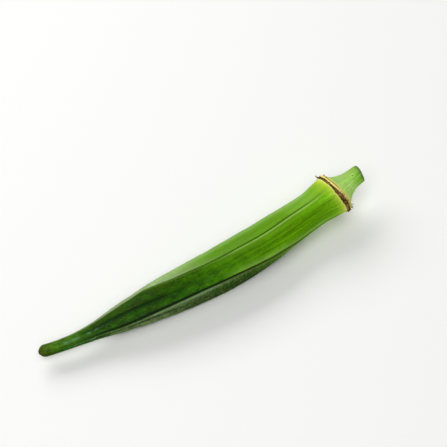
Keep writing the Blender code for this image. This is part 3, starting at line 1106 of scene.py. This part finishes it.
# %% Bunches of flakes
# Each bunch: how many, the angle up from -Y and its spread, the place along the pod and its spread, the
# length and its spread in mm, the lean towards the stalk, how far they stand up, and the tone, dark to tan.
BUNCHES = [
    (3, 151, 3, 139.2, 0.2, 2.1, 0.2, -1.1, 0.5, 0.1),
    (6, 149, 7, 138.9, 0.3, 1, 0.25, -0.7, 0.6, 0.2),
    (4, 149, 5, 140.6, 0.2, 1.2, 0.2, 1, 0.3, 0.12),
    (5, 138, 9, 140.9, 0.2, 0.6, 0.2, 0.6, 0.4, 0.5),
    (16, -24, 13, 139.4, 0.7, 1, 0.3, 0.1, 1.1, 0.5),
    (12, -19, 8, 141, 0.4, 1, 0.25, 0.9, 0.8, 0.8),
    (8, 52, 14, 139.9, 0.4, 0.55, 0.15, 0.5, 0.35, 0.55),
    (46, 60, 100, 139.3, 0.5, 0.42, 0.15, 0, 0.45, 0.4),
    (34, -120, 80, 139.3, 0.5, 0.6, 0.2, 0, 0.6, 0.4),
]
FLAKE_FOOT = -0.18


def either_way(size):
    """A random number between -size and size."""
    return size * dice.uniform(-1, 1)


def scatter_flakes(model):
    """Copies the flake on to the ring, bunch by bunch, and joins the copies to one piece."""
    copies = []
    for count, angle, turn, station, spread, length, vary, lean, stand, tone in BUNCHES:
        for _ in range(count):
            x = station + either_way(spread)
            degrees = angle + either_way(turn)
            foot = Vector(skin_place(x, degrees, FLAKE_FOOT))
            out = Vector(skin_place(x, degrees, 1) - skin_place(x, degrees)).normalized()
            step = skin_place(x + AXIS_PROBE, degrees) - skin_place(x - AXIS_PROBE, degrees)
            onward = Vector(step).normalized()
            across = out.cross(onward)
            reach = out * stand + onward * (lean + either_way(0.5)) + across * either_way(0.6)
            reach.normalize()
            width = reach.cross(out + across * either_way(0.3)).normalized()
            size = length + either_way(vary)
            copy = show("flake", model.data.copy())
            turned = Matrix((width, reach, width.cross(reach))).transposed().to_4x4()
            copy.data.transform(Matrix.Translation(foot * MM) @ turned @ Matrix.Scale(size, 4))
            keep_measure(copy, "tone", np.full(len(copy.data.vertices), tone + either_way(0.3)))
            copies.append(copy)
    bpy.data.objects.remove(model)
    select_none()
    for copy in copies:
        copy.select_set(True)
    bpy.context.view_layer.objects.active = copies[0]
    bpy.ops.object.join()
    joined = bpy.context.object
    joined.name = "ring_flakes"
    return joined


def flake_material():
    """Papery calyx scraps, dried: matt, from dark brown to grey tan, with fibres along them."""
    material, tree, shader = new_material("papery_calyx_flake")
    # Fibres of 0.3 mm.
    place = add(tree, "TexCoord", out="Object")
    fibres = add(tree, "TexNoise", {"Vector": place, "Scale": 3500, "Detail": 2})
    shade = add(tree, "Math", {0: fibres, 1: 0.6, 2: -0.3}, operation="MULTIPLY_ADD")
    tone = add(tree, "Attribute", out="Fac", attribute_name="tone")
    total = add(tree, "Math", {0: tone, 1: shade}, operation="ADD")
    stops = [(0, "#1f1208"), (0.3, "#50321a"), (0.6, "#8f6c34"), (1, "#b8aa84")]
    surface = add(tree, "ValToRGB", {"Fac": total}, stops=stops)
    feed(shader, {"Base Color": surface, "Roughness": 0.8, "Specular IOR Level": 0.25})
    return material


finish_piece(scatter_flakes(flake), flake_material())

# %% [markdown]
# ## The cut end of the stalk
# The stalk was cut with a knife. Under the green rind lies paler flesh with a ring of vessels, and the
# soft pith in the middle has sunk a little as it dried. It is another rolled sheet, which starts just
# inside the stalk and closes at the middle of the cut.

# %% Stalk cut
# Each row: the share of the way in from the rim, and how far the cut stands out there, in mm.
CUT_PROFILE = [
    (0, -0.8), (0.02, -0.1), (0.05, 0.12), (0.1, 0.24), (0.2, 0.3), (0.34, 0.3), (0.45, 0.26),
    (0.62, 0.14), (1, 0.1),
]
CUT_RINGS = 26
CUT_COLUMNS = 96
# The vessels: how many, how far in they stand, how wide their ring is, and how high they are, in mm.
VESSELS, VESSEL_PLACE, VESSEL_WIDTH, VESSEL_HEIGHT = 24, 0.3, 0.06, 0.035
# How high the marks of the knife are, and how many to the mm in each direction.
RUT_HEIGHT = 0.05
RUTS = np.array([0.3, 3.1, 0.5])


def make_stalk_cut():
    sheet, ring, column = sheet_grid("stalk_cut", CUT_RINGS, CUT_COLUMNS)
    turn = 360 * np.arange(CUT_COLUMNS) / CUT_COLUMNS
    round_it = np.cos(np.radians(turn) * VESSELS)
    rim = np.array([skin_place(LENGTH, degrees, -0.05) for degrees in turn])
    middle = rim.mean(0)
    onward = (axis_point(LENGTH) - axis_point(LENGTH - 1)).normalized()
    inward = np.concatenate([[0, 0.02, 0.05], np.linspace(0.09, 1, CUT_RINGS - 3)])
    rings = []
    for share in inward:
        vessels = bell(share - VESSEL_PLACE, VESSEL_WIDTH) * round_it * VESSEL_HEIGHT
        flat = middle + (rim - middle) * (1 - share)
        ruts = noise_at(*(flat * RUTS).T) * RUT_HEIGHT
        stand = along(CUT_PROFILE, share) + (vessels + ruts) * (0 < share < 1)
        rings.append(flat + np.outer(stand, onward))
    write_points(sheet, np.array(rings)[ring, column] * MM)
    keep_measure(sheet, "inward", inward[ring])
    keep_measure(sheet, "vessel", round_it[column] * bell(inward[ring] - VESSEL_PLACE, 0.07))
    close_tube(sheet)
    return sheet


CUT_FLESH = [
    (0, "#4a5a24"), (0.06, "#5f7a2a"), (0.14, "#9db45c"), (0.3, "#b9c97c"), (0.42, "#d3dba0"),
    (0.8, "#dfe2b4"), (1, "#cfc794"),
]


def cut_material():
    """Fresh plant flesh, cut: moist and slightly glossy, pale green, with darker rind and pale vessels."""
    material, tree, shader = new_material("cut_okra_stalk")
    # Cells of 0.3 mm.
    place = add(tree, "TexCoord", out="Object")
    cells = add(tree, "TexNoise", {"Vector": place, "Scale": 3300, "Detail": 2})
    uneven = add(tree, "Math", {0: cells, 1: 0.12, 2: -0.06}, operation="MULTIPLY_ADD")
    inward = add(tree, "Attribute", out="Fac", attribute_name="inward")
    vessel = add(tree, "Attribute", out="Fac", attribute_name="vessel")
    moved = add(tree, "Math", {0: inward, 1: uneven}, operation="ADD")
    flesh = add(tree, "ValToRGB", {"Fac": moved}, stops=CUT_FLESH)
    inputs = {FACTOR: vessel, COLOUR_A: flesh, COLOUR_B: "#eef0cc"}
    surface = add(tree, "Mix", inputs, out=COLOUR_OUT, data_type="RGBA")
    bump = add(tree, "Bump", {"Height": cells, "Strength": 0.4, "Distance": 0.08 * MM})
    feed(shader, {"Base Color": surface, "Normal": bump, "Roughness": 0.45, "Specular IOR Level": 0.3})
    return material


finish_piece(make_stalk_cut(), cut_material())

# %% [markdown]
# ## The blossom scar
# The flower hung from the blunt tip, and left a small dry scar there. It is a ball of many small faces,
# pressed flat against the tip and roughened, so that its rim melts into the skin.

# %% Blossom scar
SCAR_RADIUS = 1.15
SCAR_HEIGHT = 0.3
# How far its rim bends back, how deep its middle is, and how uneven its outline is.
SCAR_BEND, SCAR_DIMPLE, SCAR_UNEVEN = 0.28, 0.16, 0.22


def make_blossom_scar():
    select_none()
    bpy.ops.mesh.primitive_ico_sphere_add(subdivisions=5, radius=SCAR_RADIUS * MM)
    scar = bpy.context.object
    scar.name = "blossom_scar"
    points = read_points(scar) / MM
    backward = (axis_point(0) - axis_point(1)).normalized()
    turned = Vector((0, 0, 1)).rotation_difference(backward).to_matrix()
    tip = skin_place(0, 0)
    for i, point in enumerate(points):
        spot = Vector(point)
        from_middle = math.hypot(spot.x, spot.y) / SCAR_RADIUS
        rough = noise.noise(spot / 0.3) * 0.12 + noise.noise(spot / 0.7) * 0.14
        outline = 1 + SCAR_UNEVEN * noise.noise(Vector((spot.x, spot.y, 0)).normalized() * 1.7)
        height = spot.z / SCAR_RADIUS * SCAR_HEIGHT - SCAR_BEND * from_middle**2
        height -= SCAR_DIMPLE * float(bell(from_middle, 0.3))
        if spot.z > 0:
            height += rough * (1 - from_middle**4)
        points[i] = turned @ Vector((spot.x * outline, spot.y * outline, height)) + Vector(tip)
    write_points(scar, points * MM)
    scar.data.shade_smooth()
    return scar


def scar_material():
    """Healed scar tissue, dried: corky, matt, brown with an olive rim."""
    material, tree, shader = new_material("corky_blossom_scar")
    # Cork grains of 0.35 mm.
    place = add(tree, "TexCoord", out="Object")
    grains = add(tree, "TexNoise", {"Vector": place, "Scale": 2800, "Detail": 3})
    stops = [(0.3, "#1c1a06"), (0.5, "#38360e"), (0.7, "#5c5e1c")]
    surface = add(tree, "ValToRGB", {"Fac": grains}, stops=stops)
    bump = add(tree, "Bump", {"Height": grains, "Strength": 0.5, "Distance": 0.1 * MM})
    feed(shader, {"Base Color": surface, "Normal": bump, "Roughness": 0.8, "Specular IOR Level": 0.2})
    return material


finish_piece(make_blossom_scar(), scar_material())

# %% [markdown]
# ## Short hairs
# Okra is downy. Stiff white hairs, under a millimetre long, stand close together on the ridges and
# thinly on the faces, mostly in the narrow half, and lean towards the tip. Hair curves would be lost in
# an exported mesh, so one hair is modelled from a triangle, extruded twice and drawn to a point. Its
# points are then repeated by arithmetic, because joining thousands of copied objects would take
# minutes. A real hair is about 0.03 mm thick: these are drawn at 0.06 mm, so that they show.

# %% One hair
HAIR_RADIUS = 0.03 * MM
# Each part of a hair: its height, how much narrower it gets, and how far it bends.
HAIR_PARTS = ((0.5, 0.7, 0.05), (0.5, 0.02, 0.2))


def one_hair():
    """A bent three-sided spike, 1 mm high, standing on the origin."""
    select_none()
    bpy.ops.mesh.primitive_circle_add(vertices=3, radius=HAIR_RADIUS, fill_type="NGON")
    hair = bpy.context.object
    bpy.ops.object.mode_set(mode="EDIT")
    for height, shrink, bend in HAIR_PARTS:
        bpy.ops.mesh.extrude_region_move(TRANSFORM_OT_translate={"value": (bend * MM, 0, height * MM)})
        bpy.ops.transform.resize(value=(shrink, shrink, 1))
    bpy.ops.mesh.merge(type="CENTER")
    face_outwards()
    return hair


hair = one_hair()
print("one hair:", len(hair.data.vertices), "points and", len(hair.data.polygons), "faces")

# %% Hairs over the pod
HAIR_COUNT = 7500
HAIR_LENGTH = (0.3, 0.75)
# How far the hairs lean towards the tip, at least and at most beyond that, and how far sideways.
HAIR_LEAN, MORE_LEAN, SIDE_LEAN = 0.25, 0.75, 0.6
# How thick a hair of no length would be, as a share of the modelled one. Longer hairs are thicker.
HAIR_THICKNESS = 0.4
# How far the roots stray from the middles of the skin's faces, and how far inside the skin they lie.
ROOT_STRAY, ROOT_DEPTH = 0.1 * MM, 0.02 * MM
# Hairs that come nearer to the table than this are left out.
TABLE_GAP = 0.05 * MM
# How thickly the hairs stand, by mm from the tip: on the faces, and on the crests of the ridges.
HAIRS_ON_FACES = [(0, 0), (14, 0.15), (32, 0.5), (55, 0.5), (80, 0.1), (100, 0), (153, 0)]
HAIRS_ON_CRESTS = [
    (0, 0), (6, 0.5), (20, 4), (32, 7), (60, 5), (90, 1.5), (118, 0.3), (136, 0), (153, 0),
]
# The share of those away from the belly, on faces and on crests, and how much more there is on the belly.
FACE_SHARE, CREST_SHARE, MORE_ON_BELLY = 0.3, 0.35, 1.3


def hair_roots():
    """Where the hairs stand, which way the skin faces there, and the luck that goes on to be drawn from."""
    polygons = skin.data.polygons
    corners = read_all(skin.data.loops, "vertex_index", kind=int)[read_all(polygons, "loop_start", kind=int)]
    station, belly, crest, seam, fold = (
        read_all(skin.data.attributes[name].data, "value")[corners]
        for name in ("station", "belly", "crest", "seam", "fold")
    )
    on_faces = np.interp(station, *zip(*HAIRS_ON_FACES)) * (FACE_SHARE + MORE_ON_BELLY * belly)
    on_crests = np.interp(station, *zip(*HAIRS_ON_CRESTS)) * crest * (CREST_SHARE + MORE_ON_BELLY * belly)
    # Hardly any stand in the seams and the folds.
    bare = np.clip(1 - seam, 0, 1) * (1 - fold)
    thickness = read_all(polygons, "area") * (on_faces + on_crests) * bare**3
    luck = np.random.default_rng(11)
    chosen = luck.choice(len(polygons), size=HAIR_COUNT, p=thickness / thickness.sum())
    return read_all(polygons, "center", 3)[chosen], read_all(polygons, "normal", 3)[chosen], luck


def make_hairs(model):
    """Repeats the hair's points at every root, leaning towards the tip, as one mesh."""
    roots, normals, luck = hair_roots()
    towards_tip = np.array([-1, 0.1, -0.05])
    sideways = np.cross(normals, towards_tip)
    lean = HAIR_LEAN + MORE_LEAN * luck.random((HAIR_COUNT, 1))
    up = normals + towards_tip * lean + sideways * luck.uniform(-SIDE_LEAN, SIDE_LEAN, (HAIR_COUNT, 1))
    up /= np.linalg.norm(up, axis=1, keepdims=True)
    bend = np.cross(up, np.cross(towards_tip, up))
    bend /= np.linalg.norm(bend, axis=1, keepdims=True)
    across = np.cross(up, bend)
    length = luck.uniform(*HAIR_LENGTH, (HAIR_COUNT, 1))
    roots = roots + sideways * luck.uniform(-ROOT_STRAY, ROOT_STRAY, (HAIR_COUNT, 1)) - up * ROOT_DEPTH
    points = [
        roots + (bend * x + across * y) * (HAIR_THICKNESS + length) + up * z * length
        for x, y, z in read_points(model)
    ]
    points = np.stack(points, 1)
    points = points[points[:, :, 2].min(1) > TABLE_GAP]
    count, per_hair, _ = points.shape
    corners = [tuple(polygon.vertices) for polygon in model.data.polygons]
    faces = [tuple(i + per_hair * hair for i in face) for hair in range(count) for face in corners]
    mesh = bpy.data.meshes.new("ridge_hairs")
    mesh.from_pydata(points.reshape(-1, 3).tolist(), [], faces)
    bpy.data.objects.remove(model)
    return show("ridge_hairs", mesh)


def hair_material():
    """Plant hairs, grown: clear hollow cells that look white, with a little shine."""
    material, tree, shader = new_material("white_plant_hair")
    # Patches of 4 mm, from white to greenish.
    place = add(tree, "TexCoord", out="Object")
    patches = add(tree, "TexNoise", {"Vector": place, "Scale": 250, "Detail": 1})
    shade = add(tree, "ValToRGB", {"Fac": patches}, stops=[(0.35, "#5f7d3c"), (0.65, "#b4c696")])
    feed(shader, {"Base Color": shade, "Roughness": 0.5})
    return material


finish_piece(make_hairs(hair), hair_material())

# %% [markdown]
# ## The table and the light
# The table is a plain pale sheet. The light is a large soft lamp behind the pod, which puts a sheen on
# the faces that look up and away and leaves the near side deep, a weaker one in front, and a pale room.
# The room's walls look white where they are seen past the table's edge, but they light the pod less.

# %% Table and lights
select_none()
bpy.ops.mesh.primitive_plane_add(size=2, location=(0, 0, 0))
floor = bpy.context.object
floor.name = "table_top"
floor_material, _, floor_shader = new_material("matt_white_table")
feed(floor_shader, {"Base Color": "#f7f7f5", "Roughness": 0.9})
floor.data.materials.append(floor_material)


def add_lamp(name, place, width, height, power):
    """A soft lamp that looks at the pod."""
    data = bpy.data.lights.new(name, "AREA")
    data.shape = "RECTANGLE"
    data.size = width
    data.size_y = height
    data.energy = power
    lamp = show(name, data)
    lamp.location = place
    lamp.rotation_euler = Vector(place).to_track_quat("Z", "Y").to_euler()
    print(f"{name}: {power} W from {Vector(place).length:.2f} m")


add_lamp("back_softbox", (-0.1, 0.9, 0.75), 1.2, 0.6, 8.5)
add_lamp("top_softbox", (-0.3, -0.35, 1.3), 1, 1, 11.5)
# The room's brightness: what lights the pod, and what the camera sees.
ROOM_LIGHT, ROOM_SEEN = 0.2, 0.95
world = bpy.data.worlds.new("pale_room")
world.use_nodes = True
room = world.node_tree.nodes["Background"]
seen = add(world.node_tree, "LightPath", out="Is Camera Ray")
strength = add(world.node_tree, "MapRange", {"Value": seen, 3: ROOM_LIGHT, 4: ROOM_SEEN})
feed(room, {"Color": "#ffffff", "Strength": strength})
bpy.context.scene.world = world
bpy.context.scene.view_settings.view_transform = "Standard"
